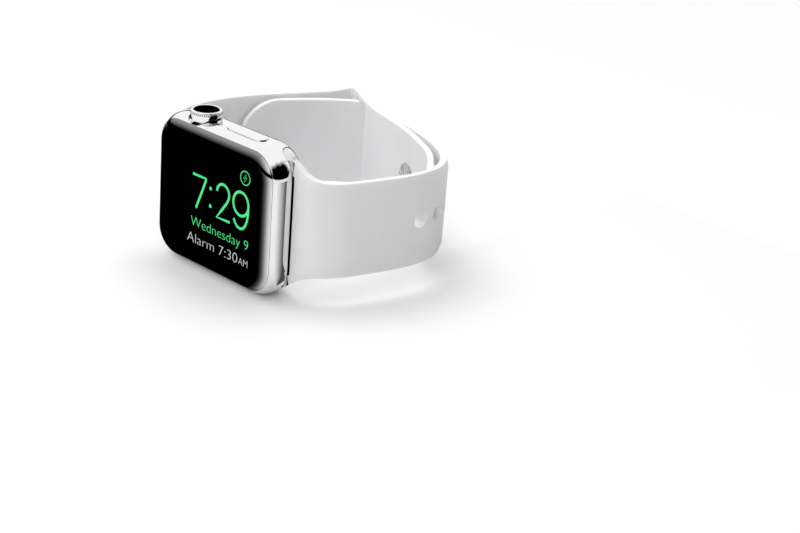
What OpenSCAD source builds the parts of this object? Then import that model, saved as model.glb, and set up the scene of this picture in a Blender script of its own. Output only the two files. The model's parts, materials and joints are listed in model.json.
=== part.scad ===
// Rectangular smartwatch on a closed pin-and-tuck strap, lying on its side with the crown up.
// Millimetres. X runs along the case, -Y is the display side, +Z is the crown side.
// The origin is in the middle of the flat on the case's side that the watch stands on.

/* [Case] */
// Length of the case, from strap to strap
case_len = 42; // [38.6:0.1:44]
// Width of the case, from the resting side to the crown side
case_wid = 35.9; // [33.3:0.1:38]
// Thickness of the case without the sensor dome
case_thk = 10.5; // [10:0.1:11]
// Radius of the case's four corners seen from the front
corner_r = 7.6; // [7:0.1:8.5]
// Rounding of the edges at the display
front_round = 4.4; // [4:0.1:4.6]
// Rounding of the edges at the back
back_round = 3.1; // [2.8:0.1:3.4]
// How thick the cover glass is at its seam
glass_thk = 1.35; // [1.2:0.05:1.5]

/* [Crown and side button] */
// Crown's distance from the middle of the case
crown_off = 8.4; // [8:0.1:9]
// Radius of the knurled rim
crown_r = 3.75; // [3.5:0.05:4]
// How far the crown stands out of the side
crown_out = 2.0; // [1.8:0.1:2.2]
// Length of the side button
button_len = 12.2; // [12:0.1:13.5]
// Width of the side button
button_wid = 3.5; // [3.4:0.1:3.8]
// Middle of the side button along the case
button_off = 6.2; // [5.6:0.1:6.2]

/* [Strap] */
// Thickness of the strap
strap_thk = 2.1; // [1.9:0.1:2.2]
// Width of the half that carries the stud
short_wid = 23.8; // [23:0.1:24]
// Width of the long half where it leaves the case
long_wid = 22.4; // [22:0.1:23]
// Width of the long half's tail
tail_wid = 22; // [21.4:0.1:22.2]
// Distance from hole to hole
hole_pitch = 6.1; // [5.9:0.05:6.2]
// Radius of the adjustment holes
hole_r = 1.85; // [1.8:0.05:2]

/* [Hidden] */
$fn = 48;

// Levels through the case: Y from the display (negative) to the back (positive)
front_y = -case_thk / 2;
back_y = case_thk / 2;
seam_y = front_y + glass_thk;
mid_z = case_wid / 2;
top_z = case_wid;
gap = 0.1;
skin = 0.05;

// The cavity that holds the works
cavity_x = 15.7;
cavity_half = mid_z - 2.05;
cavity_top = mid_z + cavity_half;
floor_y = back_y - 1.0;
window_r = 13.6;
cover_r = 15;
cover_seat = 0.75;
dome_rise = 1.95;

// The strap's lugs slide in round-bottomed channels across both ends of the case
lug_x = case_len / 2 - 2.4;
lug_y = 2.4;
lug_r = 2.05;
neck = 1.5;
exit_x = case_len / 2 - 0.5;

// Middle lines of the closed strap's halves seen from the crown: the long half runs from its lug
// to the tail, and the short half from its free end, through the tuck slot's bend, to its lug
long_line = [[20.5, 2.4], [25.2, 3.9], [29.0, 8.2], [31.2, 14.9], [32.8, 21.6], [33.6, 27.6],
  [33.2, 33.2], [31.8, 37.2], [29.4, 40.8], [25.4, 44.4], [20.8, 47.1], [15.0, 49.6], [7.2, 52.1],
  [0.4, 53.9], [-4.5, 55.2], [-8.8, 56.5], [-12.2, 57.0], [-15.2, 55.9], [-18.2, 53.0],
  [-21.2, 49.2], [-24.4, 44.2], [-27.2, 38.6], [-29.4, 32.6], [-30.25, 28.9]];
short_line = [[30.4, 33.2], [29.2, 36.2], [26.6, 39.4], [22.6, 42.3], [18.0, 44.6], [12.6, 46.9],
  [6.6, 49.0], [0.6, 50.9], [-4.6, 52.4], [-9.2, 54.0], [-13.4, 56.0], [-17.2, 58.4],
  [-20.5, 60.4], [-22.5, 60.2], [-23.1, 57.8], [-23.8, 53.6], [-26.3, 46.9], [-29.2, 40.4],
  [-31.5, 33.9], [-32.9, 27.0], [-33.2, 19.8], [-32.3, 13.2], [-29.4, 7.6], [-25.2, 3.9],
  [-20.5, 2.4]];
line_steps = 6;
ring_step = 1.3;
stud_s = 22.32;
stud_on_long = 62.24;
stud_spacing = 3.38;
holes_before = 5;
holes_after = 1;

// ---- A middle line as a smooth curve, and places along it ----

function last(a) = len(a) - 1;
function blend4(p0, p1, p2, p3, t) = 0.5 * ((2 * p1) + (p2 - p0) * t
  + (2 * p0 - 5 * p1 + 4 * p2 - p3) * t * t + (3 * p1 - p0 - 3 * p2 + p3) * t * t * t);
function smooth(p) = [for (i = [0 : last(p) - 1], k = [0 : line_steps - 1])
  blend4(p[max(0, i - 1)], p[i], p[i + 1], p[min(last(p), i + 2)], k / line_steps), p[last(p)]];
function run(p, i = 0, at = 0, got = []) = i > last(p) ? got
  : run(p, i + 1, i < last(p) ? at + norm(p[i + 1] - p[i]) : at, concat(got, at));

// A curve as [lookup table for x, lookup table for y, length]
function measured(c, s) = [[for (i = [0 : last(c)]) [s[i], c[i][0]]],
  [for (i = [0 : last(c)]) [s[i], c[i][1]]], s[last(s)]];
long_curve = measured(smooth(long_line), run(smooth(long_line)));
short_curve = measured(smooth(short_line), run(smooth(short_line)));
function at(c, s) = [lookup(s, c[0]), lookup(s, c[1])];
function outward(c, s) = let (d = at(c, min(c[2], s + 0.6)) - at(c, max(0, s - 0.6))) [d[1], -d[0]] / norm(d);
function ease(t) = let (c = max(0, min(1, t))) c * c * (3 - 2 * c);

// Half widths and half thicknesses along the halves, with a flare into the lug and a round tip
function rounding(d, w) = d >= w ? 1 : sqrt(max(0.001, 1 - pow((w - d) / w, 2)));
flare = 3.1;
tail_half = tail_wid / 2;
free_half = short_wid / 2 - 1.1;
function long_half(s) = rounding(long_curve[2] - s, tail_half)
  * (long_wid / 2 + (tail_half - long_wid / 2) * ease((s - 15) / 60) + flare * (1 - ease(s / 6.5)));
function short_half(s) = rounding(s, free_half) * (free_half + (short_wid / 2 - free_half) * ease(s / 30)
  + 0.8 * (1 - ease(abs(s - slot_mid) / 14)) + flare * (1 - ease((short_curve[2] - s) / 6.5)));
function thick(b) = strap_thk / 2 + 0.35 * (1 - ease(b / 16));

// The slot that the tail is tucked through
slot_mid = 51.2;
slot_long = 9.4;
slot_half = tail_half + 0.35;
slot_round = 1.4;

// ---- A strap swept along a row of places, with a round-edged section ----

edge = [[-0.62, 1], [0.62, 1], [0.92, 0.72], [1, 0.3], [1, -0.3], [0.92, -0.72], [0.62, -1],
  [-0.62, -1], [-0.92, -0.72], [-1, -0.3], [-1, 0.3], [-0.92, 0.72]];
edge_r = 0.85;
sides = len(edge);

// A ring of points at p with outward normal n: w is the half width, t the half thickness
function ring(p, n, w, t) = [for (e = edge)
  let (across = e[0] * t, up = abs(e[1]) == 1 ? sign(e[1]) * w
    : sign(e[1]) * max(0.05, w - edge_r * (1 - abs(e[1]))))
  [p[0] + n[0] * across, p[1] + n[1] * across, mid_z + up]];

module skin_of(rings) {
  n = len(rings);
  polyhedron(points = [for (r = rings, p = r) p], convexity = 8, faces = concat(
    [[for (k = [0 : sides - 1]) k]],
    [for (i = [0 : n - 2], k = [0 : sides - 1]) let (j = (k + 1) % sides)
      [i * sides + k, (i + 1) * sides + k, (i + 1) * sides + j, i * sides + j]],
    [[for (k = [sides - 1 : -1 : 0]) (n - 1) * sides + k]]));
}

function stops(from, to, n) = [for (i = [0 : n]) from + (to - from) * i / n];

module long_band() {
  c = long_curve;
  skin_of([for (s = stops(0, c[2] - 0.02, ceil(c[2] / ring_step)))
    ring(at(c, s), outward(c, s), long_half(s), thick(s))]);
}

module short_band() {
  c = short_curve;
  skin_of([for (s = stops(0.02, c[2], ceil(c[2] / ring_step)))
    ring(at(c, s), outward(c, s), short_half(s), thick(c[2] - s))]);
}

module tuck_slot() {
  c = short_curve;
  function inset(d) = slot_round - sqrt(max(0, slot_round * slot_round - pow(max(0, slot_round - d), 2)));
  skin_of([for (s = stops(slot_mid - slot_long / 2, slot_mid + slot_long / 2, 12))
    let (end = slot_long / 2 - abs(s - slot_mid))
      ring(at(c, s), outward(c, s), slot_half - inset(end), strap_thk * 0.75)]);
}

// Moves its children to place p with their Z axis along n
module stand_on(p, n) {
  translate([p[0], p[1], mid_z]) rotate([0, 90, atan2(n[1], n[0])]) children();
}

// ---- Shapes that repeat ----

// A slab with round corners and the case's edge profile, inset by e on every side
module case_solid(e = 0) {
  r_f = front_round;
  r_b = back_round;
  hull() for (sx = [-1, 1], sz = [-1, 1])
    translate([sx * (case_len / 2 - corner_r), 0, mid_z + sz * (case_wid / 2 - corner_r)])
      rotate([90, 0, 0]) rotate_extrude($fn = 32) polygon(concat(
        [[0, back_y * -1 + e], [corner_r - r_b, -back_y + e]],
        [for (a = [18 : 18 : 90]) [corner_r - r_b + (r_b - e) * sin(a), -back_y + r_b - (r_b - e) * cos(a)]],
        [for (a = [0 : 15 : 75]) [corner_r - r_f + (r_f - e) * cos(a), -front_y - r_f + (r_f - e) * sin(a)]],
        [[corner_r - r_f, -front_y - e], [0, -front_y - e]]));
}

// A box given by its lowest and highest corner
module block(low, high) {
  translate(low) cube(high - low);
}

// A slab with corners of radius r, half sizes hx and hz, between levels y0 and y1
module rounded_slab(hx, hz, r, y0, y1) {
  block([-hx + r, y0, mid_z - hz], [hx - r, y1, mid_z + hz]);
  block([-hx, y0, mid_z - hz + r], [hx, y1, mid_z + hz - r]);
  for (sx = [-1, 1], sz = [-1, 1]) puck(r, y0, y1, 0, sx * (hx - r), mid_z + sz * (hz - r));
}

// A disc or tube across the case: radius r, hole h, between levels y0 and y1, centred on x, z
module puck(r, y0, y1, h = 0, x = 0, z = mid_z) {
  translate([x, y1, z]) rotate([90, 0, 0]) difference() {
    cylinder(r = r, h = y1 - y0);
    if (h > 0) translate([0, 0, -1]) cylinder(r = h, h = y1 - y0 + 2);
  }
}

// A stadium along X lying in the side, between levels z0 and z1
module pill(len, wid, z0, z1, x, y) {
  translate([x, y, z0]) {
    for (s = [-1, 1]) translate([s * (len - wid) / 2, 0, 0]) cylinder(d = wid, h = z1 - z0);
    translate([-(len - wid) / 2, -wid / 2, 0]) cube([len - wid, wid, z1 - z0]);
  }
}

// A stadium along Z lying in the back, between levels y0 and y1
module back_pill(len, wid, y0, y1, x) {
  translate([x, y1, mid_z]) rotate([90, 0, 0]) {
    for (s = [-1, 1]) translate([0, s * (len - wid) / 2, 0]) cylinder(d = wid, h = y1 - y0);
    translate([-wid / 2, -(len - wid) / 2, 0]) cube([wid, len - wid, y1 - y0]);
  }
}

// The channel or the lug that slides in it, s is the end of the case (-1 or 1), grown by g
module lug_shape(s, g, z0, z1) {
  translate([s * lug_x, lug_y, z0]) {
    cylinder(r = lug_r + g, h = z1 - z0);
    translate([s > 0 ? 0 : -4, -neck - g, 0]) cube([4, 2 * (neck + g), z1 - z0]);
  }
}

// A wire ring spring drawn as a coil sleeve between levels y0 and y1
module coil_sleeve(r, y0, y1, x) {
  turns = 4;
  pitch = (y1 - y0 - 0.2) / turns;
  for (k = [0 : turns]) translate([x, y0 + 0.1 + k * pitch, mid_z]) rotate([90, 0, 0])
    rotate_extrude() translate([r, 0]) circle(r = 0.09, $fn = 16);
  puck(r + 0.02, y0 + 0.1, y1 - 0.1, r - 0.08, x);
}

// ---- Case, glass and display ----

speaker_x = 6.5;
speaker_y = 0.7;
port_x = 16.0;
port_z = mid_z - 9.5;
latch_r = 0.8;
release_len = 5.6;
release_wid = 2.0;
release_y = 4.72;

module case() {
  color("gainsboro") difference() {
    intersection() {
      case_solid();
      block([-30, seam_y, -5], [30, back_y + 1, 45]);
    }
    // Room for the works, with a wider step that seats the display
    rounded_slab(cavity_x, cavity_half, 3, seam_y - 1, floor_y);
    rounded_slab(18.3, 15.4, 4.6, seam_y - 1, seam_y + 1.15);
    board_holes(0.55, floor_y - 0.2, floor_y + 0.5);
    // Window and seat for the back cover
    puck(window_r, floor_y - 1, back_y + 1);
    puck(cover_r + skin, back_y - cover_seat, back_y + 1);
    for (s = [-1, 1]) {
      lug_shape(s, gap, -1, top_z + 1);
      back_pill(release_len + 0.1, release_wid + 0.1, lug_y, back_y + 1, s * lug_x);
      // The latch runs in this groove while the strap slides out towards the crown side
      block([s * lug_x - latch_r - gap, lug_y, mid_z], [s * lug_x + latch_r + gap, release_y + 0.1, top_z + 1]);
    }
    // Crown recess and bore
    translate([-crown_off, 0, top_z - 1.25]) cylinder(r = crown_r + 0.35, h = 4);
    translate([-crown_off, 0, cavity_top - 1]) cylinder(r = 1.8, h = 4);
    // Side button pocket and its two pin holes
    pill(button_len + 0.16, button_wid + 0.16, top_z - 1.35, top_z + 2, button_off, 0);
    for (s = [-1, 1]) translate([button_off + s * 3.6, 0, cavity_top - 1]) cylinder(r = 0.62, h = 3);
    // Pocket for the cover over the service port, in the wall of the long half's channel
    block([port_x - skin, lug_y - 0.65, port_z - skin], [port_x + 1, lug_y + 0.65, port_z + 5 + skin]);
    // Two speaker slots and the microphone port on the resting side
    for (s = [-1, 1]) pill(5.2, 1.3, -1, 4, speaker_x + s * 3.6, speaker_y);
    translate([-7.2, speaker_y, -1]) cylinder(r = 0.6, h = 5);
  }
}

module cover_glass() {
  color([0.05, 0.05, 0.06]) intersection() {
    case_solid();
    block([-30, front_y - 1, -5], [30, seam_y - skin, 45]);
  }
}

module display_gasket() {
  color("black") difference() {
    rounded_slab(18.2, 15.3, 4.5, seam_y, seam_y + 0.3);
    rounded_slab(17.3, 14.4, 3.8, seam_y - 1, seam_y + 1);
  }
}

module display_panel() {
  color([0.02, 0.02, 0.03]) rounded_slab(17, 14.1, 3.5, seam_y, seam_y + 0.55);
}

module display_plate() {
  color("silver") difference() {
    rounded_slab(17.6, 14.7, 4.1, seam_y + 0.6, seam_y + 0.95);
    block([-1, seam_y, mid_z - 14.9], [9, seam_y + 2, mid_z - 12.4]);
  }
}

// ---- Back cover with its coil, magnet and optical sensor ----

lens_off = 3.3;
lens_r = 2.0;
flange_y = back_y - 0.45;

module dome_outline(r, rise, y) {
  // A shallow dome over a disc of radius r, its rim at height y and its crown rise above that
  big = (r * r + rise * rise) / (2 * rise);
  intersection() {
    translate([0, y + rise - big]) circle(r = big, $fn = 180);
    translate([0, y - 1.5]) square([r, rise + 2]);
  }
}

module lens_places() {
  for (a = [45 : 90 : 315]) translate([lens_off * cos(a), 0, mid_z + lens_off * sin(a)]) rotate([90, 0, 0]) children();
}

module back_cover() {
  color([0.12, 0.12, 0.13]) difference() {
    translate([0, 0, mid_z]) rotate([-90, 0, 0]) rotate_extrude($fn = 96) difference() {
      union() {
        dome_outline(cover_r - 1.1, dome_rise, back_y);
        translate([0, flange_y]) square([cover_r, back_y - flange_y]);
      }
      translate([-1, 0]) square([20, flange_y]);
      square([12.4, back_y + 0.35]);
      dome_outline(10.4, 1.05, back_y);
    }
    lens_places() translate([0, 0, -20]) cylinder(r = lens_r + skin, h = 40);
  }
}

module sensor_lenses() {
  color([0.25, 0.08, 0.08]) intersection() {
    lens_places() translate([0, 0, -back_y - 1.75]) cylinder(r = lens_r, h = 0.9);
    puck(cover_r, 0, back_y + dome_rise);
  }
}

module back_seal() {
  color("dimgray") puck(14.8, back_y - cover_seat + 0.02, flange_y - 0.02, 13.75);
}

module charging_coil() {
  color([0.72, 0.42, 0.2]) puck(12.0, back_y - 0.6, back_y + 0.1, 8.3);
}

module coil_shield() {
  color([0.2, 0.2, 0.22]) puck(12.2, back_y - 1.0, back_y - 0.65, 7.9);
}

module alignment_magnet() {
  color("silver") puck(7.6, back_y - 1.0, back_y - 0.1, 5.6);
}

module sensor_board() {
  color([0.05, 0.25, 0.12]) puck(5.3, back_y - 0.9, back_y - 0.4);
}

module sensor_diodes() {
  color([0.3, 0.75, 0.35]) lens_places() translate([-0.7, -0.7, -back_y - 0.1]) cube([1.4, 1.4, 0.45]);
}

// ---- Works inside the case ----

module battery() {
  color([0.15, 0.15, 0.17]) block([-3.0, -2.6, 9.6], [14.6, 1.4, 31.0]);
}

module main_board() {
  color([0.05, 0.3, 0.15]) difference() {
    block([-15.2, 3.3, 4.0], [15.2, 3.9, 31.9]);
    board_holes(0.55, 3, 5);
  }
}

module board_holes(r, y0, y1) {
  for (x = [-13.9, 13.9], z = [5.4, 30.5]) puck(r, y0, y1, 0, x, z);
}

module system_module() {
  color([0.55, 0.56, 0.58]) block([-12, 2.0, 9.6], [12, 3.25, 28]);
}

module board_screws() {
  color("silver") for (x = [-13.9, 13.9], z = [5.4, 30.5]) translate([x, 3.25, z]) rotate([90, 0, 0]) {
    difference() {
      cylinder(r = 0.95, h = 0.6);
      translate([0, 0, 0.35]) cylinder(r = 0.4, h = 1, $fn = 3);
    }
    translate([0, 0, -1.45]) cylinder(r = 0.5, h = 1.5);
  }
}

haptic_low = [-14.7, -2.6, 6.2];
haptic_high = [-7.7, 1.6, 24.6];
haptic_wall = 0.35;

module haptic_housing() {
  w = [haptic_wall, haptic_wall, haptic_wall];
  color([0.6, 0.6, 0.62]) difference() {
    block(haptic_low, haptic_high);
    block(haptic_low + w, haptic_high - w);
  }
}

module haptic_mass() {
  color([0.35, 0.35, 0.38]) block(haptic_low + [0.75, 0.75, 3.4], haptic_high - [0.75, 0.75, 3.4]);
}

module haptic_springs() {
  // Folded leaf springs that hold the mass between the housing's ends
  color("silver") for (z = [haptic_low[2] + haptic_wall + 0.1, haptic_high[2] - 2.9]) for (k = [0 : 2])
    translate([haptic_low[0] + 1.0 + k * 0.1, haptic_low[1] + 0.9, z + k * 1.0]) cube([5.0, 2.4, 0.35]);
}

module speaker_module() {
  color([0.12, 0.12, 0.13]) difference() {
    block([speaker_x - 5.9, -2.6, 2.9], [speaker_x + 5.9, 1.9, 8.9]);
    for (s = [-1, 1]) pill(4.6, 0.9, 1, 5, speaker_x + s * 3.0, speaker_y);
  }
}

module speaker_mesh() {
  color("gray") for (s = [-1, 1]) pill(5.0, 1.1, 1.5, 1.75, speaker_x + s * 3.6, speaker_y);
}

module microphone() {
  color([0.7, 0.6, 0.3]) block([-8.4, -0.3, 2.2], [-6.0, 1.7, 3.3]);
}

module antenna_frame() {
  color([0.85, 0.85, 0.82]) difference() {
    rounded_slab(15.6, cavity_half - 0.1, 2.9, -2.7, -2.2);
    rounded_slab(14.9, cavity_half - 0.8, 2.2, -3, 0);
  }
}

module display_flex() {
  color([0.8, 0.55, 0.2]) {
    block([8.2, -2.85, 2.5], [13.8, -2.72, 9.2]);
    block([8.2, -2.85, 9.07], [13.8, 3.2, 9.2]);
  }
}

module sensor_flex() {
  color([0.8, 0.55, 0.2]) block([-3, 4.0, 12], [3, 4.12, 24]);
}

module button_flex() {
  color([0.8, 0.55, 0.2]) {
    block([0.2, 1.55, 31.6], [11.4, 1.67, 33.6]);
    block([-2.2, 1.7, 29.2], [11.4, 1.82, 31.7]);
  }
}

// ---- Crown, on the Z axis at -crown_off ----

module at_crown(z) {
  translate([-crown_off, 0, z]) children();
}

crown_top = top_z + crown_out;
teeth = 60;
module crown_wheel() {
  color("gainsboro") at_crown(0) difference() {
    union() {
      translate([0, 0, top_z - 0.85]) cylinder(r = crown_r - 0.2, h = crown_out - 0.15);
      translate([0, 0, crown_top - 1.05]) cylinder(r = crown_r, h = 0.9);
      translate([0, 0, crown_top - 0.15]) cylinder(r1 = crown_r, r2 = crown_r - 0.15, h = 0.15, $fn = 64);
    }
    for (k = [0 : teeth - 1]) rotate(k * 360 / teeth)
      translate([crown_r + 0.05, 0, crown_top - 1.1]) rotate(45) cube([0.22, 0.22, 2.4], center = true);
    translate([0, 0, crown_top - 0.5]) cylinder(r = 2.95, h = 1);
    translate([0, 0, top_z - 2]) cylinder(r = 1.0, h = crown_out + 1.2);
    translate([0, 0, top_z - 2]) cylinder(r = 2.4, h = 2.2);
  }
}

module crown_cap() {
  color([0.08, 0.08, 0.09]) at_crown(crown_top - 0.48) cylinder(r = 2.9, h = 0.42);
}

module crown_shaft() {
  color("silver") at_crown(0) {
    translate([0, 0, 30.2]) cylinder(r = 0.98, h = crown_top - 0.85 - 30.2);
    translate([0, 0, 32.7]) cylinder(r = 1.35, h = 0.45);
  }
}

module crown_bushing() {
  color("darkgray") at_crown(0) difference() {
    union() {
      translate([0, 0, cavity_top - 0.6]) cylinder(r = 1.75, h = 2.25);
      translate([0, 0, cavity_top - 0.65]) cylinder(r = 2.1, h = 0.6);
    }
    translate([0, 0, 30]) cylinder(r = 1.03, h = 8);
    for (z = seal_levels) translate([0, 0, z]) cylinder(r = 1.4, h = 0.4);
  }
}

seal_levels = [cavity_top - 0.1, cavity_top + 0.75];
module crown_seals() {
  color("black") at_crown(0) for (z = seal_levels) translate([0, 0, z + 0.03]) difference() {
    cylinder(r = 1.37, h = 0.34);
    translate([0, 0, -1]) cylinder(r = 1.03, h = 3);
  }
}

module crown_encoder() {
  color([0.1, 0.1, 0.12]) difference() {
    block([-crown_off + 1.7, -1.6, 28.6], [-crown_off + 4.4, 1.5, 32.8]);
    block([-crown_off + 1.6, -0.6, 30.4], [-crown_off + 2.2, 0.6, 31.6]);
  }
}

module crown_plunger() {
  color("ivory") at_crown(29.5) cylinder(r = 1.1, h = 0.65);
}

module crown_switch() {
  color("silver") at_crown(0) {
    translate([-1.6, -1.6, 27.6]) cube([3.2, 3.1, 0.9]);
    translate([0, 0, 28.5]) cylinder(r = 1.0, h = 0.35);
  }
}

// ---- Side button ----

module side_button() {
  color("gainsboro") {
    pill(button_len, button_wid, top_z - 0.85, top_z + 0.25, button_off, 0);
    for (s = [-1, 1]) translate([button_off + s * 3.6, 0, 33.1]) cylinder(r = 0.45, h = 2.2);
  }
}

module side_button_seals() {
  color("black") for (s = [-1, 1]) translate([button_off + s * 3.6, 0, cavity_top + 0.1]) difference() {
    cylinder(r = 0.61, h = 0.35);
    translate([0, 0, -1]) cylinder(r = 0.48, h = 3);
  }
}

module side_button_bracket() {
  color("silver") block([0.4, -1.4, 31.6], [11.2, 1.4, 31.9]);
}

module side_button_switch() {
  color("silver") for (s = [-1, 1]) translate([button_off + s * 3.6, 0, 31.95]) {
    cylinder(r = 1.2, h = 0.35);
    cylinder(r = 0.7, h = 0.75);
  }
}

// ---- Strap release and latches ----

module release_button(s) {
  color("gainsboro") back_pill(release_len, release_wid, release_y + 0.08, back_y - 0.02, s * lug_x);
}

module release_button_short() {
  release_button(-1);
}

module release_button_long() {
  release_button(1);
}

module port_cover() {
  color("dimgray") translate([port_x, lug_y - 0.6, port_z]) cube([0.4, 1.2, 5]);
}

latch_foot = 2.5;
module lug_latch(s) {
  color("silver") puck(latch_r, latch_foot + 0.9, release_y, 0, s * lug_x);
}

module lug_latch_short() {
  lug_latch(-1);
}

module lug_latch_long() {
  lug_latch(1);
}

module latch_spring_short() {
  color("silver") coil_sleeve(0.5, latch_foot - 0.9, latch_foot + 0.88, -lug_x);
}

module latch_spring_long() {
  color("silver") coil_sleeve(0.5, latch_foot - 0.9, latch_foot + 0.88, lug_x);
}

// ---- Strap halves and closure ----

module lug(s) {
  intersection() {
    lug_shape(s, 0, 0.5, case_wid - 0.5);
    case_solid(0.15);
  }
}

module latch_pocket(s) {
  puck(latch_r + 0.06, latch_foot - 0.95, back_y + 2, 0, s * lug_x);
}

stud_n = outward(short_curve, stud_s);
module at_stud() {
  stand_on(at(short_curve, stud_s), stud_n) children();
}

module strap_long_half() {
  color("whitesmoke") difference() {
    union() {
      long_band();
      lug(1);
    }
    latch_pocket(1);
    at_stud() translate([0, 0, stud_spacing - 4]) cylinder(r = hole_r, h = 8);
    for (k = [-holes_before : holes_after]) if (k != 0) let (s = stud_on_long + k * hole_pitch)
      stand_on(at(long_curve, s), outward(long_curve, s)) translate([0, 0, -4]) cylinder(r = hole_r, h = 8);
  }
}

stud_post_r = 1.6;
base_r = 4.1;
module strap_short_half() {
  color("whitesmoke") difference() {
    union() {
      short_band();
      lug(-1);
    }
    latch_pocket(-1);
    tuck_slot();
    at_stud() {
      translate([0, 0, -4]) cylinder(r = stud_post_r + 0.05, h = 8);
      translate([0, 0, -5]) cylinder(r = base_r + 0.08, h = 5 - strap_thk / 2 + 0.5);
    }
  }
}

head_z = stud_spacing + strap_thk / 2 + 0.1;
module closure_stud() {
  color("silver") at_stud() {
    translate([0, 0, -strap_thk / 2 + 0.45]) cylinder(r = stud_post_r, h = head_z + strap_thk / 2 - 0.4);
    translate([0, 0, head_z]) cylinder(r1 = 2.5, r2 = 2.8, h = 0.35);
    translate([0, 0, head_z + 0.35]) cylinder(r1 = 2.8, r2 = 2.2, h = 0.45);
  }
}

module stud_base() {
  color("silver") at_stud() translate([0, 0, -strap_thk / 2 - 0.02]) cylinder(r = base_r, h = 0.45);
}

case();
cover_glass();
display_gasket();
display_panel();
display_plate();
back_cover();
back_seal();
sensor_lenses();
sensor_board();
sensor_diodes();
charging_coil();
coil_shield();
alignment_magnet();
battery();
main_board();
system_module();
board_screws();
haptic_housing();
haptic_mass();
haptic_springs();
speaker_module();
speaker_mesh();
microphone();
antenna_frame();
crown_wheel();
crown_cap();
crown_shaft();
crown_bushing();
crown_seals();
crown_encoder();
crown_plunger();
crown_switch();
side_button();
side_button_seals();
side_button_bracket();
side_button_switch();
release_button_short();
release_button_long();
port_cover();
display_flex();
sensor_flex();
button_flex();
strap_short_half();
strap_long_half();
closure_stud();
stud_base();
lug_latch_short();
lug_latch_long();
latch_spring_short();
latch_spring_long();
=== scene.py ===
import json
import math
import bpy
from mathutils import Matrix, Vector


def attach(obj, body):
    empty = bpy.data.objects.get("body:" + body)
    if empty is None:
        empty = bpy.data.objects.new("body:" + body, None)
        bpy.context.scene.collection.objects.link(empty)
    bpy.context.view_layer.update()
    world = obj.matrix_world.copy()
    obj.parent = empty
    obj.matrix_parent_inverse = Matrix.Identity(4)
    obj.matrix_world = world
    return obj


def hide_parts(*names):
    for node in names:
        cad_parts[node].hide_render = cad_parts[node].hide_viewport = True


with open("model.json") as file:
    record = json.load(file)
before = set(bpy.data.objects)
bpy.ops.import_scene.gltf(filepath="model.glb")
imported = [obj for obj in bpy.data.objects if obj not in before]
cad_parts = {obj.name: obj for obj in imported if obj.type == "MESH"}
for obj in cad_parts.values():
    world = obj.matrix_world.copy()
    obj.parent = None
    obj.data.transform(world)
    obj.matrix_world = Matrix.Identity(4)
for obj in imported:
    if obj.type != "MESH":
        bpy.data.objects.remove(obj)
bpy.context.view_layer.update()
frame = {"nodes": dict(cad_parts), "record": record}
mm = 0.001
centreZ = 17.95     # the case's middle in millimetres, above the side it stands on
midZ = centreZ * mm


# ---- Small tools for working the way one does by hand ----

def deselect():
    if bpy.context.mode != "OBJECT":
        bpy.ops.object.mode_set(mode="OBJECT")
    bpy.ops.object.select_all(action="DESELECT")


def focus(piece):
    deselect()
    piece.select_set(True)
    bpy.context.view_layer.objects.active = piece


def added(name):
    piece = bpy.context.active_object
    piece.name = name
    piece.data.name = name
    return piece


def settle(piece):
    # place, turn and size go into the mesh
    focus(piece)
    bpy.ops.object.transform_apply(location=True, rotation=True, scale=True)
    return piece


def addBlock(name, low, high):
    deselect()
    middle = [(a + b) / 2 * mm for a, b in zip(low, high)]
    bpy.ops.mesh.primitive_cube_add(size=1, location=middle)
    piece = added(name)
    piece.scale = [(b - a) * mm for a, b in zip(low, high)]
    return settle(piece)


def addDisc(name, radius, low, high, centre, along="Z", sides=64):
    # a cylinder from level low to level high along one axis, centre gives the other two places
    deselect()
    turns = {"X": (0, math.pi / 2, 0), "Y": (math.pi / 2, 0, 0), "Z": (0, 0, 0)}
    place = list(centre)
    place["XYZ".index(along)] = (low + high) / 2
    bpy.ops.mesh.primitive_cylinder_add(vertices=sides, radius=radius * mm, depth=(high - low) * mm,
                                        location=[p * mm for p in place], rotation=turns[along])
    return settle(added(name))


def clearPick(piece, kind):
    focus(piece)
    bpy.ops.object.mode_set(mode="EDIT")
    bpy.ops.mesh.select_mode(type=kind)
    bpy.ops.mesh.select_all(action="DESELECT")


def pickEdges(piece, test):
    # test gets the two ends of each edge, in millimetres
    clearPick(piece, "EDGE")
    bpy.ops.object.mode_set(mode="OBJECT")
    mesh = piece.data
    for edge in mesh.edges:
        a, b = (mesh.vertices[i].co / mm for i in edge.vertices)
        edge.select = bool(test(a, b))
    bpy.ops.object.mode_set(mode="EDIT")


def pickPoints(piece, test):
    clearPick(piece, "VERT")
    bpy.ops.object.mode_set(mode="OBJECT")
    for point in piece.data.vertices:
        point.select = bool(test(point.co / mm))
    bpy.ops.object.mode_set(mode="EDIT")


def pickFaces(piece, test):
    # test gets the face's middle in millimetres and its normal
    clearPick(piece, "FACE")
    bpy.ops.object.mode_set(mode="OBJECT")
    for face in piece.data.polygons:
        face.select = bool(test(face.center / mm, face.normal))
    bpy.ops.object.mode_set(mode="EDIT")


def pickSharp(piece, degrees, test):
    # edges that turn by more than this angle, where test also holds
    clearPick(piece, "EDGE")
    bpy.ops.mesh.edges_select_sharp(sharpness=math.radians(degrees))
    bpy.ops.object.mode_set(mode="OBJECT")
    mesh = piece.data
    sharp = [edge.index for edge in mesh.edges if edge.select]
    keep = {i for i in sharp if test(*(mesh.vertices[v].co / mm for v in mesh.edges[i].vertices))}
    for group in (mesh.polygons, mesh.vertices):
        for item in group:
            item.select = False
    for edge in mesh.edges:
        edge.select = edge.index in keep
    bpy.ops.object.mode_set(mode="EDIT")


def roundEdges(width, segments, profile=0.5):
    bpy.ops.mesh.bevel(offset=width * mm, segments=segments, profile=profile, affect="EDGES",
                       clamp_overlap=True)


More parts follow.
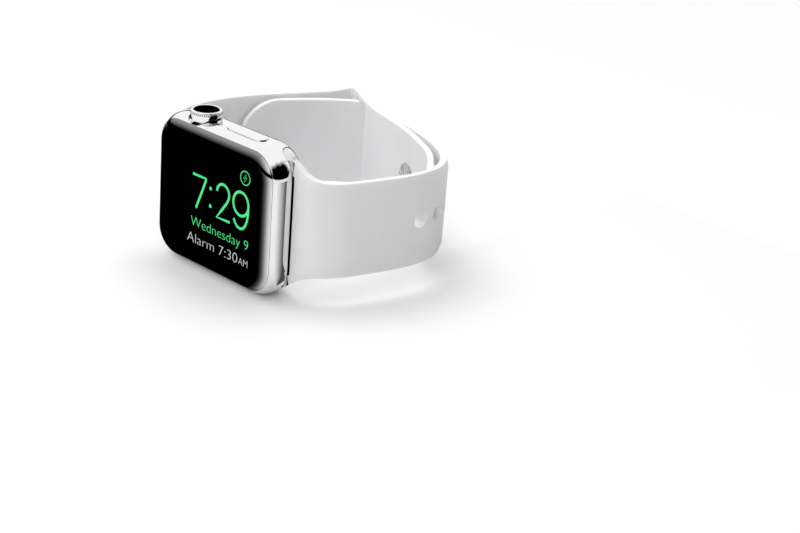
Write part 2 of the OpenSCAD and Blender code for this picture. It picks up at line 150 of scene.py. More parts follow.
def useModifier(piece, kind, **settings):
    focus(piece)
    modifier = piece.modifiers.new(kind.title(), kind)
    for key, value in settings.items():
        setattr(modifier, key, value)
    bpy.ops.object.modifier_apply(modifier=modifier.name)


def cut(piece, tool, operation="DIFFERENCE"):
    useModifier(piece, "BOOLEAN", operation=operation, solver="EXACT", object=tool)
    bpy.data.objects.remove(tool)


def tidy(piece, angle=35):
    # doubles merged, faces outwards, smooth except at real edges
    focus(piece)
    bpy.ops.object.mode_set(mode="EDIT")
    bpy.ops.mesh.select_all(action="SELECT")
    bpy.ops.mesh.remove_doubles(threshold=0.002 * mm)
    bpy.ops.mesh.normals_make_consistent(inside=False)
    bpy.ops.object.mode_set(mode="OBJECT")
    bpy.ops.object.shade_smooth_by_angle(angle=math.radians(angle))
    return piece


def evenShading(piece):
    useModifier(piece, "WEIGHTED_NORMAL", mode="FACE_AREA", keep_sharp=True, weight=80)


def finished(piece, body, material, slot, *nodes):
    piece.data.materials.clear()
    piece.data.materials.append(material)
    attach(piece, body)
    if nodes:
        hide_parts(*nodes)
    return piece


# ---- Camera ----

view = {"azimuth": 43.0, "elevation": 22.16, "roll": 4.61, "distance": 397.2,
        "across": -39.85, "up": 15.22, "focal": 1723.0, "width": 800}


def placeCamera(v):
    az, el, roll = (math.radians(v[k]) for k in ("azimuth", "elevation", "roll"))
    ahead = -Vector((math.sin(az) * math.cos(el), -math.cos(az) * math.cos(el), math.sin(el)))
    right = ahead.cross(Vector((0, 0, 1))).normalized()
    above = right.cross(ahead)
    right, above = (right * math.cos(roll) + above * math.sin(roll),
                    above * math.cos(roll) - right * math.sin(roll))
    spot = -ahead * v["distance"] - right * v["across"] - above * v["up"]
    bpy.ops.object.camera_add(location=spot * mm + Vector((0, 0, midZ)))
    camera = bpy.context.active_object
    camera.name = "mainCamera"
    camera.rotation_euler = Matrix((right, above, -ahead)).transposed().to_euler()
    camera.data.sensor_width = 36
    camera.data.lens = 36 * v["focal"] / v["width"]
    camera.data.clip_start = 0.01
    bpy.context.scene.camera = camera


deselect()
placeCamera(view)
bpy.context.scene.view_settings.view_transform = "Standard"
print("camera placed")


# ---- Materials ----

def newMaterial(name):
    material = bpy.data.materials.new(name)
    material.use_nodes = True
    tree = material.node_tree
    shader = next(n for n in tree.nodes if n.type == "BSDF_PRINCIPLED")
    place = tree.nodes.new("ShaderNodeTexCoord")
    return material, tree, shader, place


def addNoise(tree, place, scale, detail=3, stretch=None):
    noise = tree.nodes.new("ShaderNodeTexNoise")
    noise.inputs["Scale"].default_value = scale
    noise.inputs["Detail"].default_value = detail
    source = place.outputs["Object"]
    if stretch:
        mapping = tree.nodes.new("ShaderNodeMapping")
        mapping.inputs["Scale"].default_value = stretch
        tree.links.new(source, mapping.inputs["Vector"])
        source = mapping.outputs["Vector"]
    tree.links.new(source, noise.inputs["Vector"])
    return noise


def spread(tree, noise, low, high, target, start=0.3, end=0.7):
    # a texture's value spread over a range into one of the shader's sockets
    ramp = tree.nodes.new("ShaderNodeMapRange")
    ramp.inputs["From Min"].default_value = start
    ramp.inputs["From Max"].default_value = end
    ramp.inputs["To Min"].default_value = low
    ramp.inputs["To Max"].default_value = high
    tree.links.new(noise.outputs[0], ramp.inputs["Value"])
    tree.links.new(ramp.outputs["Result"], target)


def tint(tree, noise, dark, light, target, start=0.35, end=0.65):
    ramp = tree.nodes.new("ShaderNodeValToRGB")
    ramp.color_ramp.elements[0].position = start
    ramp.color_ramp.elements[1].position = end
    ramp.color_ramp.elements[0].color = (*dark, 1)
    ramp.color_ramp.elements[1].color = (*light, 1)
    tree.links.new(noise.outputs[0], ramp.inputs["Fac"])
    tree.links.new(ramp.outputs["Color"], target)


def addBump(tree, noise, shader, height, strength=1.0):
    bump = tree.nodes.new("ShaderNodeBump")
    bump.inputs["Distance"].default_value = height * mm
    bump.inputs["Strength"].default_value = strength
    tree.links.new(noise.outputs[0], bump.inputs["Height"])
    tree.links.new(bump.outputs["Normal"], shader.inputs["Normal"])


def polishedSteel():
    material, tree, shader, place = newMaterial("polishedSteel")
    shader.inputs["Metallic"].default_value = 1
    wear = addNoise(tree, place, 90, 4)
    tint(tree, wear, (0.80, 0.80, 0.80), (0.84, 0.84, 0.84), shader.inputs["Base Color"])
    hairs = addNoise(tree, place, 900, 3, (1, 1, 0.08))
    spread(tree, hairs, 0.035, 0.065, shader.inputs["Roughness"])
    return material


def coverGlass():
    # black and dull-bright on the flat, with a painted reflection making it more mirror-like where it curves back
    # to the seam
    material, tree, shader, place = newMaterial("coverGlass")
    shader.inputs["Metallic"].default_value = 1
    parts = tree.nodes.new("ShaderNodeSeparateXYZ")
    tree.links.new(place.outputs["Object"], parts.inputs["Vector"])
    ramp = tree.nodes.new("ShaderNodeMapRange")
    ramp.inputs["From Min"].default_value = -5.22 * mm
    ramp.inputs["From Max"].default_value = -3.9 * mm
    tree.links.new(parts.outputs["Y"], ramp.inputs["Value"])
    shades = tree.nodes.new("ShaderNodeValToRGB")
    bands = shades.color_ramp.elements
    bands[0].position, bands[0].color = 0.0, (0, 0, 0, 1)
    bands[1].position, bands[1].color = 1.0, (0.8, 0.8, 0.81, 1)
    for spot, level in ((0.1, 0.01), (0.3, 0.12), (0.6, 0.5)):
        band = bands.new(spot)
        band.color = (level, level, level, 1)
    tree.links.new(ramp.outputs["Result"], shades.inputs["Fac"])
    # painted highlight: the long sides' curve is made brighter than the curve along the top and bottom
    width = tree.nodes.new("ShaderNodeMath")
    width.operation = "ABSOLUTE"
    tree.links.new(parts.outputs["X"], width.inputs[0])
    sides = tree.nodes.new("ShaderNodeMapRange")
    sides.inputs["From Min"].default_value = 15.5 * mm
    sides.inputs["From Max"].default_value = 18.5 * mm
    sides.inputs["To Min"].default_value = 0.4
    tree.links.new(width.outputs["Value"], sides.inputs["Value"])
    paintedRimReflection = tree.nodes.new("ShaderNodeVectorMath")
    paintedRimReflection.operation = "SCALE"
    tree.links.new(shades.outputs["Color"], paintedRimReflection.inputs[0])
    tree.links.new(sides.outputs["Result"], paintedRimReflection.inputs["Scale"])
    tree.links.new(paintedRimReflection.outputs["Vector"], shader.inputs["Base Color"])
    shader.inputs["Specular Tint"].default_value = (0.12, 0.12, 0.12, 1)
    smears = addNoise(tree, place, 140, 4)
    spread(tree, smears, 0.02, 0.05, shader.inputs["Roughness"])
    return material


def strapElastomer():
    material, tree, shader, place = newMaterial("strapElastomer")
    cloud = addNoise(tree, place, 60, 3)
    tint(tree, cloud, (0.80, 0.80, 0.81), (0.83, 0.83, 0.84), shader.inputs["Base Color"])
    grain = addNoise(tree, place, 9000, 2)
    spread(tree, grain, 0.42, 0.5, shader.inputs["Roughness"])
    addBump(tree, grain, shader, 0.004, 0.35)
    shader.inputs["Subsurface Weight"].default_value = 0.4
    shader.inputs["Subsurface Radius"].default_value = (1.0, 0.95, 0.9)
    shader.inputs["Subsurface Scale"].default_value = 1.5 * mm
    return material


def turnedSteel():
    material, tree, shader, place = newMaterial("turnedSteel")
    shader.inputs["Metallic"].default_value = 1
    shader.inputs["Anisotropic"].default_value = 0.85
    grooves = addNoise(tree, place, 1500, 3)
    tint(tree, grooves, (0.55, 0.55, 0.55), (0.62, 0.62, 0.62), shader.inputs["Base Color"])
    spread(tree, grooves, 0.22, 0.3, shader.inputs["Roughness"])
    tangent = tree.nodes.new("ShaderNodeTangent")
    tangent.direction_type = "UV_MAP"
    tree.links.new(tangent.outputs["Tangent"], shader.inputs["Tangent"])
    return material


def glossBlack(name, colour, low=0.06, high=0.12):
    material, tree, shader, place = newMaterial(name)
    shader.inputs["Base Color"].default_value = (*colour, 1)
    shader.inputs["Specular IOR Level"].default_value = 0.12
    haze = addNoise(tree, place, 300, 3)
    spread(tree, haze, low, high, shader.inputs["Roughness"])
    return material


def mirrorBlack(name):
    # polished and almost black, with a faint cloud in how dark it is
    material, tree, shader, place = newMaterial(name)
    shader.inputs["Metallic"].default_value = 1
    shader.inputs["Specular Tint"].default_value = (0.1, 0.1, 0.1, 1)
    cloud = addNoise(tree, place, 300, 3)
    tint(tree, cloud, (0.001, 0.001, 0.001), (0.006, 0.006, 0.006), shader.inputs["Base Color"])
    spread(tree, cloud, 0.06, 0.12, shader.inputs["Roughness"])
    return material


def litFigures(name, colour, strength):
    material, tree, shader, place = newMaterial(name)
    shader.inputs["Base Color"].default_value = (0, 0, 0, 1)
    shader.inputs["Roughness"].default_value = 0.4
    glow = addNoise(tree, place, 400, 2)
    tint(tree, glow, [c * 0.97 for c in colour], colour, shader.inputs["Emission Color"])
    shader.inputs["Emission Strength"].default_value = strength
    return material


def plainFinish(name, colour, metallic, low, high, scale=400, bump=0.0):
    # for the parts inside: colour and roughness both vary a little
    material, tree, shader, place = newMaterial(name)
    shader.inputs["Metallic"].default_value = metallic
    grain = addNoise(tree, place, scale, 4)
    tint(tree, grain, [c * 0.85 for c in colour], colour, shader.inputs["Base Color"])
    spread(tree, grain, low, high, shader.inputs["Roughness"])
    if bump:
        addBump(tree, grain, shader, bump)
    return material


steel = polishedSteel()
glass = coverGlass()
rubber = strapElastomer()
turned = turnedSteel()
capBlack = mirrorBlack("crownCapBlack")
backBlack = glossBlack("backCeramic", (0.02, 0.02, 0.022), 0.05, 0.09)
greenLight = litFigures("greenFigures", (0.027, 0.79, 0.212), 1.0)
greyLight = litFigures("greyFigures", (0.55, 0.55, 0.6), 1.0)

innerFinishes = {
    "plain_steel": plainFinish("plainSteel", (0.62, 0.62, 0.62), 1, 0.25, 0.4),
    "mesh_steel": plainFinish("meshSteel", (0.12, 0.12, 0.13), 1, 0.4, 0.6, 2500, 0.02),
    "module_shield": plainFinish("moduleShield", (0.6, 0.61, 0.62), 1, 0.3, 0.45),
    "tungsten": plainFinish("tungsten", (0.2, 0.2, 0.21), 1, 0.4, 0.6),
    "magnet": plainFinish("nickelMagnet", (0.62, 0.6, 0.56), 1, 0.15, 0.3),
    "brass": plainFinish("micBrass", (0.7, 0.52, 0.22), 1, 0.2, 0.35),
    "copper": plainFinish("coilCopper", (0.72, 0.36, 0.16), 1, 0.25, 0.4, 1800, 0.01),
    "ferrite": plainFinish("ferrite", (0.06, 0.06, 0.07), 0, 0.6, 0.8),
    "board": plainFinish("boardGreen", (0.02, 0.12, 0.05), 0, 0.3, 0.45),
    "diode": plainFinish("diode", (0.2, 0.55, 0.2), 0, 0.1, 0.2),
    "battery_pouch": plainFinish("batteryPouch", (0.05, 0.05, 0.055), 0, 0.35, 0.55, 700, 0.02),
    "dark_plastic": plainFinish("darkPlastic", (0.035, 0.035, 0.04), 0, 0.4, 0.6),
    "pale_plastic": plainFinish("palePlastic", (0.7, 0.7, 0.66), 0, 0.4, 0.6),
    "flex_film": plainFinish("flexFilm", (0.6, 0.3, 0.07), 0, 0.25, 0.4),
    "seal_rubber": plainFinish("sealRubber", (0.02, 0.02, 0.02), 0, 0.6, 0.8),
    "display_panel": glossBlack("panelBlack", (0.004, 0.004, 0.005)),
    "sensor_lens": glossBlack("sensorLens", (0.03, 0.006, 0.006), 0.03, 0.06),
    "polished_steel": steel, "display_glass": glass, "strap_elastomer": rubber,
    "stud_steel": turned, "crown_cap_black": capBlack, "back_ceramic": backBlack}
slotOf = {s["node"]: s["material_slot"] for s in frame["record"]["subparts"]}
for name, node in frame["nodes"].items():
    node.data.materials.clear()
    node.data.materials.append(innerFinishes[slotOf[name]])
print("materials ready")


# ---- Case and cover glass: one rounded block, parted at the seam ----

case = {"long": 42.0, "thick": 10.5, "wide": 35.9, "corner": 7.6, "front": 4.4, "back": 3.1, "seam": -3.9,
        "cornerSteps": 32, "edgeSteps": 18, "seamEdge": 0.09, "mouthEdge": 0.42,
        "lugX": 18.6, "lugY": 2.4, "channelR": 2.15, "mouth": 1.95,
        "crownX": -8.4, "recessR": 4.1, "recessZ": 34.65,
        "buttonX": 6.2, "buttonLong": 12.36, "buttonWide": 3.66, "buttonZ": 34.55,
        "speakerX": 6.5, "speakerY": 0.7, "speakerStep": 3.6, "speakerLong": 5.2, "speakerWide": 1.3,
        "micX": -7.2, "micR": 0.6, "seatR": 15.05, "seatY": 4.5, "windowR": 13.6, "boreR": 1.8,
        "hollowLow": (-15.7, -6, 2.05), "hollowHigh": (15.7, 4.25, 33.85), "hollowCorner": 3,
        "pocketLong": 5.7, "pocketWide": 2.1, "pocketLow": 2.4, "glassGap": 0.12}


def roundedBody(name, shrink=0.0):
    c = case
    hx, hy, hz = c["long"] / 2 - shrink, c["thick"] / 2 - shrink, c["wide"] / 2 - shrink
    body = addBlock(name, (-hx, -hy, centreZ - hz), (hx, hy, centreZ + hz))
    pickEdges(body, lambda a, b: abs(a.y - b.y) > 1)
    roundEdges(c["corner"] - shrink, c["cornerSteps"])
    pickEdges(body, lambda a, b: a.y < -hy + 0.01 and b.y < -hy + 0.01)
    roundEdges(c["front"] - shrink, c["edgeSteps"])
    pickEdges(body, lambda a, b: a.y > hy - 0.01 and b.y > hy - 0.01)
    roundEdges(c["back"] - shrink, c["edgeSteps"])
    bpy.ops.object.mode_set(mode="OBJECT")
    return body


def addPill(name, length, width, low, high, x, y, along="Z"):
    # a block whose ends are rounded into half circles; it lies along X in the side, or along Z in the back
    if along == "Z":
        piece = addBlock(name, (x - length / 2, y - width / 2, low), (x + length / 2, y + width / 2, high))
        pickEdges(piece, lambda a, b: abs(a.z - b.z) > (high - low) / 2)
    else:
        piece = addBlock(name, (x - width / 2, low, centreZ - length / 2),
                         (x + width / 2, high, centreZ + length / 2))
        pickEdges(piece, lambda a, b: abs(a.y - b.y) > (high - low) / 2)
    roundEdges(width / 2 * 0.999, 16)
    bpy.ops.object.mode_set(mode="OBJECT")
    return piece


def makeCase():
    c = case
    body = roundedBody("caseShell")
    pickFaces(body, lambda p, n: True)
    bpy.ops.mesh.bisect(plane_co=(0, c["seam"] * mm, 0), plane_no=(0, 1, 0), use_fill=True, clear_inner=True)
    pickSharp(body, 30, lambda a, b: a.y < c["seam"] + 0.01 and b.y < c["seam"] + 0.01)
    roundEdges(c["seamEdge"], 3)
    bpy.ops.object.mode_set(mode="OBJECT")
    hollow = addBlock("hollow", c["hollowLow"], c["hollowHigh"])
    pickEdges(hollow, lambda a, b: abs(a.y - b.y) > 1)
    roundEdges(c["hollowCorner"], 8)
    cut(body, hollow)
    cut(body, addDisc("window", c["windowR"], 3, 8, (0, 0, centreZ), "Y", 96))
    cut(body, addDisc("seat", c["seatR"], c["seatY"], 8, (0, 0, centreZ), "Y", 128))
    for side in (-1, 1):
        x = side * c["lugX"]
        channel = addDisc("channel", c["channelR"], -2, 38, (x, c["lugY"], 0), "Z", 72)
        outer = x + side * 4
        mouth = addBlock("mouth", (min(x, outer), c["lugY"] - c["mouth"], -2),
                         (max(x, outer), c["lugY"] + c["mouth"], 38))
        cut(channel, mouth, "UNION")
        cut(body, channel)
        cut(body, addPill("releasePocket", c["pocketLong"], c["pocketWide"], c["pocketLow"], 8, x, 0, "Y"))
    cut(body, addDisc("crownRecess", c["recessR"], c["recessZ"], 40, (c["crownX"], 0, 0), "Z", 96))
    cut(body, addDisc("crownBore", c["boreR"], 32, 36, (c["crownX"], 0, 0), "Z", 48))
    cut(body, addPill("buttonPocket", c["buttonLong"], c["buttonWide"], c["buttonZ"], 40, c["buttonX"], 0))
    for step in (-1, 1):
        cut(body, addPill("speakerSlot", c["speakerLong"], c["speakerWide"], -1, 4,
                          c["speakerX"] + step * c["speakerStep"], c["speakerY"]))
    cut(body, addDisc("micPort", c["micR"], -1, 4, (c["micX"], c["speakerY"], 0), "Z", 32))
    # chamfers along the channel mouths, which get painted shade below, and a soft lip round the crown's recess
    pickSharp(body, 25, lambda p, q: all(
        abs(t.x) > c["lugX"] + 0.1 and abs(abs(t.y - c["lugY"]) - c["mouth"]) < 0.02 for t in (p, q)))
    roundEdges(c["mouthEdge"], 2)
    bpy.ops.object.mode_set(mode="OBJECT")
    pickSharp(body, 25, lambda p, q: all(
        t.z > 35.5 and abs(math.hypot(t.x - c["crownX"], t.y) - c["recessR"]) < 0.02 for t in (p, q)))
    roundEdges(0.16, 3)
    tidy(body, 32)
    evenShading(body)
    finished(body, "root", steel, "polished_steel", "case")
    # painted shade: faces deep in the channels, on the mouth chamfers, inside the button pocket and on the steel's
    # front face at the seam get the dark ferrite finish
    body.data.materials.append(innerFinishes["ferrite"])
    for face in body.data.polygons:
        p = face.center / mm
        fromLug = math.hypot(abs(p.x) - c["lugX"], p.y - c["lugY"])
        paintedShadeInChannel = 16.3 < abs(p.x) < 20.97 and p.y < 4.3 and fromLug < c["channelR"] + 0.02
        paintedShadeInPocket = (abs(p.x - c["buttonX"]) < c["buttonLong"] / 2 + 0.02
                    and abs(p.y) < c["buttonWide"] / 2 + 0.02
                    and c["buttonZ"] - 0.02 < p.z < 35.88 and (abs(face.normal.z) < 0.5 or p.z < 35))
        paintedShadeOnLip = abs(p.x) > c["lugX"] and abs(abs(p.y - c["lugY"]) - c["mouth"]) < c["mouthEdge"] - 0.02
        paintedShadeAtSeam = face.normal.y < -0.9 and p.y < c["seam"] + 0.1
        if paintedShadeInChannel or paintedShadeOnLip or paintedShadeInPocket or paintedShadeAtSeam:
            face.material_index = 1
    return body


def makeGlass():
    c = case
    pane = roundedBody("coverGlass")
    pickFaces(pane, lambda p, n: True)
    bpy.ops.mesh.bisect(plane_co=(0, (c["seam"] - c["glassGap"]) * mm, 0), plane_no=(0, 1, 0),
                        use_fill=True, clear_outer=True)
    pickSharp(pane, 30, lambda a, b: a.y > c["seam"] - 0.13 and b.y > c["seam"] - 0.13)
    roundEdges(c["seamEdge"], 3)
    tidy(pane, 32)
    evenShading(pane)
    finished(pane, "root", glass, "display_glass", "cover_glass")
    # painted shade: the glass's back faces at the seam get the dark ferrite finish, for a dark seam line
    pane.data.materials.append(innerFinishes["ferrite"])
    for face in pane.data.polygons:
        if face.normal.y > 0.9:
            face.material_index = 1
    return pane


makeCase()
makeGlass()
print("case and glass done")


# ---- Crown ----

crown = {"x": -8.4, "rim": 3.8, "neck": 3.5, "low": 35.4, "rimLow": 36.85, "top": 37.9,
         "capR": 2.92, "capLow": 37.42, "capEdge": 0.12, "teeth": 48, "toothDeep": 0.1,
         "dimpleIn": 0.95, "dimpleHigh": 37.4}


def makeCrown():
    c = crown
    wheel = addDisc("crownWheel", c["neck"], c["low"], c["rimLow"], (c["x"], 0, 0), "Z", c["teeth"] * 4)
    pickFaces(wheel, lambda p, n: n.z > 0.9)
    pivot = (c["x"] * mm, 0, 0)

    def lift(height, size):
        bpy.ops.mesh.extrude_region_move(TRANSFORM_OT_translate={"value": (0, 0, height * mm)})
        if size != 1:
            bpy.ops.transform.resize(value=(size, size, 1), center_override=pivot)
    lift(0.0, (c["neck"] + 0.1) / c["neck"])
    lift(0.12, c["rim"] / (c["neck"] + 0.1))
    for _ in range(3):
        lift(0.2, 1)
    lift(0.13, 0.985)
    lift(0.07, 0.965)
    lift(0.02, 0.955)
    inner = c["rim"] * 0.985 * 0.965 * 0.955
    lift(0.0, (c["capR"] + 0.14) / inner)
    lift(-0.06, (c["capR"] + 0.04) / (c["capR"] + 0.14))
    lift(-0.34, 1)
    # every other strip of the rim goes in, for the knurling
    step = 2 * math.pi / c["teeth"]

    def inGroove(p, n):
        angle = math.atan2(p.y, p.x - c["x"]) % step
        rimFace = abs(n.z) < 0.2 and math.hypot(p.x - c["x"], p.y) > c["rim"] - 0.1
        return rimFace and 0.5 * step < angle < step
    pickFaces(wheel, inGroove)
    size = 1 - c["toothDeep"] / c["rim"]
    bpy.ops.mesh.extrude_region_move(TRANSFORM_OT_translate={"value": (0, 0, 0)})
    bpy.ops.transform.resize(value=(size, size, 1), center_override=pivot)
    pickFaces(wheel, lambda p, n: abs(n.z) < 0.2 and p.z < c["dimpleHigh"]
              and abs(math.hypot(p.x - c["x"], p.y) - c["rim"] + c["toothDeep"]) < 0.03)
    bpy.ops.mesh.extrude_region_move(TRANSFORM_OT_translate={"value": (0, 0, 0)})
    bpy.ops.transform.resize(value=(c["dimpleIn"], c["dimpleIn"], 1), center_override=pivot)
    tidy(wheel, 40)
    finished(wheel, "crown", steel, "polished_steel", "crown_wheel")
    # painted shade: the knurling's sunk faces below the dimple height get the dark ferrite finish
    wheel.data.materials.append(innerFinishes["ferrite"])
    for face in wheel.data.polygons:
        p = face.center / mm
        paintedShadeInGap = math.hypot(p.x - c["x"], p.y) < c["rim"] - c["toothDeep"] - 0.02
        if c["rimLow"] + 0.05 < p.z < c["dimpleHigh"] and paintedShadeInGap:
            face.material_index = 1
    cap = addDisc("crownCap", c["capR"], c["capLow"], c["top"] - 0.1, (c["x"], 0, 0), "Z", 96)
    pickEdges(cap, lambda a, b: min(a.z, b.z) > c["top"] - 0.2)
    roundEdges(c["capEdge"], 4)
    pickFaces(cap, lambda p, n: n.z > 0.99)
    bpy.ops.mesh.inset(thickness=0.5 * mm)
    bpy.ops.transform.translate(value=(0, 0, 0.03 * mm))
    bpy.ops.mesh.inset(thickness=1.0 * mm)
    bpy.ops.transform.translate(value=(0, 0, 0.02 * mm))
    tidy(cap, 30)
    return finished(cap, "crown", capBlack, "crown_cap_black", "crown_cap")


makeCrown()


# ---- Side button and the strap's release buttons ----

buttons = {"long": 12.2, "wide": 3.5, "low": 35.05, "high": 36.15, "edge": 0.35,
           "releaseLong": 5.6, "releaseWide": 2.0, "releaseLow": 4.8, "releaseHigh": 5.23, "releaseEdge": 0.15}


def makeButtons():
    c = buttons
    key = addPill("sideButton", c["long"], c["wide"], c["low"], c["high"], case["buttonX"], 0)
    pickEdges(key, lambda a, b: min(a.z, b.z) > c["high"] - 0.01)
    roundEdges(c["edge"], 8)
    tidy(key, 35)
    evenShading(key)
    finished(key, "side_button", steel, "polished_steel", "side_button")
    for side, body in ((-1, "release_short"), (1, "release_long")):
        button = addPill("releaseButton" + body[8:].title(), c["releaseLong"], c["releaseWide"],
                         c["releaseLow"], c["releaseHigh"], side * case["lugX"], 0, "Y")
        pickEdges(button, lambda a, b: min(a.y, b.y) > c["releaseHigh"] - 0.01)
        roundEdges(c["releaseEdge"], 4)
        tidy(button, 35)
        evenShading(button)
        finished(button, body, steel, "polished_steel", "release_button_" + body[8:])


makeButtons()
print("crown and buttons done")


# ---- Back cover ----

backCover = {"flangeR": 15.0, "domeR": 13.9, "rise": 1.95, "low": 4.8, "high": 5.25, "rings": 22,
             "edge": 0.08, "lensAt": 3.3, "lensR": 2.05}


def makeBack():
    c = backCover
    cover = addDisc("backCover", c["flangeR"], c["low"], c["high"], (0, 0, centreZ), "Y", 160)
    pickEdges(cover, lambda a, b: a.y > c["high"] - 0.01 and b.y > c["high"] - 0.01)
    roundEdges(c["edge"], 3)
    pickFaces(cover, lambda p, n: n.y > 0.99)
    pivot = (0, 0, midZ)
    big = (c["domeR"] ** 2 + c["rise"] ** 2) / (2 * c["rise"])
    radius, level = c["flangeR"] - c["edge"], 0.0
    for k in range(c["rings"] + 1):
        r = c["domeR"] * (1 - k / (c["rings"] + 0.4))
        height = c["rise"] - big + math.sqrt(big * big - r * r)
        bpy.ops.mesh.extrude_region_move(TRANSFORM_OT_translate={"value": (0, (height - level) * mm, 0)})
        bpy.ops.transform.resize(value=(r / radius, 1, r / radius), center_override=pivot)
        radius, level = r, height
    bpy.ops.object.mode_set(mode="OBJECT")
    for angle in range(45, 360, 90):
        x = c["lensAt"] * math.cos(math.radians(angle))
        z = centreZ + c["lensAt"] * math.sin(math.radians(angle))
        cut(cover, addDisc("lensHole", c["lensR"], 3, 9, (x, 0, z), "Y", 64))
    tidy(cover, 25)
    evenShading(cover)
    finished(cover, "root", backBlack, "back_ceramic", "back_cover")


makeBack()
print("back done")


# ---- Strap: each half is cut flat, then bent along its middle line ----

longHalf = {
    "line": [(20.5, 2.4), (25.2, 3.9), (29.0, 8.2), (31.2, 14.9), (32.8, 21.6), (33.6, 27.6), (33.2, 33.2),
             (31.8, 37.2), (29.4, 40.8), (25.4, 44.4), (20.8, 47.1), (15.0, 49.6), (7.2, 52.1), (0.4, 53.9),
             (-4.5, 55.2), (-8.8, 56.5), (-12.2, 57.0), (-15.2, 55.9), (-18.2, 53.0), (-21.2, 49.2),
             (-24.4, 44.2), (-27.2, 38.6), (-29.4, 32.6), (-30.25, 28.9)],
    "half": [(-1.6, 15.4), (-0.8, 14.9), (0, 14.3), (1.2, 13.4), (2.6, 12.5), (4.4, 11.8), (6.6, 11.35),
             (10, 11.2), (15, 11.2), (75, 11.0), (200, 11.0)],
    "tip": 11.0,
    "studS": 62.24, "pitch": 6.1, "before": 5, "after": 1, "holeR": 1.85}
shortHalf = {
    "line": [(30.4, 33.2), (29.2, 36.2), (26.6, 39.4), (22.6, 42.3), (18.0, 44.6), (12.6, 46.9), (6.6, 49.0),
             (0.6, 50.9), (-4.6, 52.4), (-9.2, 54.0), (-13.4, 56.0), (-17.2, 58.4), (-20.5, 60.4),
             (-22.5, 60.2), (-23.1, 57.8), (-23.8, 53.6), (-26.3, 46.9), (-29.2, 40.4), (-31.5, 33.9),
             (-32.9, 27.0), (-33.2, 19.8), (-32.3, 13.2), (-29.4, 7.6), (-25.2, 3.9), (-20.5, 2.4)],
    "half": [(-1.6, 15.4), (-0.8, 14.9), (0, 14.3), (1.2, 13.6), (2.6, 12.9), (4.4, 12.35), (6.6, 12.0),
             (10, 11.9), (62, 11.9), (66, 12.05), (70, 12.45), (74, 12.68), (77, 12.68), (81, 12.45),
             (85, 12.05), (89, 11.9), (97, 11.9), (103, 11.75), (112, 11.3), (120, 10.9), (126, 10.8), (200, 10.8)],
    "tip": 10.8,
    "studS": 22.32, "studHoleR": 1.65, "seatR": 4.18, "seatLow": 0.55,
    "slotS": 51.2, "slotLong": 9.4, "slotHalf": 11.35, "slotCorner": 1.4}
strap = {"thick": 2.1, "thickAtLug": 2.8, "column": 0.62, "outerEdge": 0.7, "innerBand": 1.9, "innerDrop": 0.6,
         "lugR": 2.05, "latchR": 0.86, "paintedShadeTo": 21.05, "start": -1.6, "fadeOver": 16}


def bentLine(points, step=0.4):
    # a smooth line through the points, at even steps
    fine = []
    last = len(points) - 1
    for i in range(last):
        p0, p1, p2, p3 = (Vector(points[max(0, min(last, k))]) for k in (i - 1, i, i + 1, i + 2))
        for k in range(24):
            t = k / 24
            fine.append(0.5 * (2 * p1 + (p2 - p0) * t + (2 * p0 - 5 * p1 + 4 * p2 - p3) * t * t
                               + (3 * p1 - p0 - 3 * p2 + p3) * t ** 3))
    fine.append(Vector(points[last]))
    run = [0.0]
    for a, b in zip(fine, fine[1:]):
        run.append(run[-1] + (b - a).length)
    count = round(run[-1] / step)
    even, j = [], 0
    for k in range(count + 1):
        s = run[-1] * k / count
        while j < len(run) - 2 and run[j + 1] < s:
            j += 1
        f = (s - run[j]) / (run[j + 1] - run[j])
        even.append(fine[j].lerp(fine[j + 1], f))
    return even, run[-1]


def along(line, length, s):
    # the place and the outward direction at distance s from the line's start
    def at(d):
        k = max(0, min(len(line) - 1.001, d / length * (len(line) - 1)))
        return line[int(k)].lerp(line[int(k) + 1], k - int(k))
    way = (at(s + 0.6) - at(s - 0.6)).normalized()
    return at(s), Vector((way.y, -way.x))


def between(table, s):
    for (s0, w0), (s1, w1) in zip(table, table[1:]):
        if s <= s1:
            f = max(0, (s - s0) / (s1 - s0))
            return w0 + (w1 - w0) * f
    return table[-1][1]


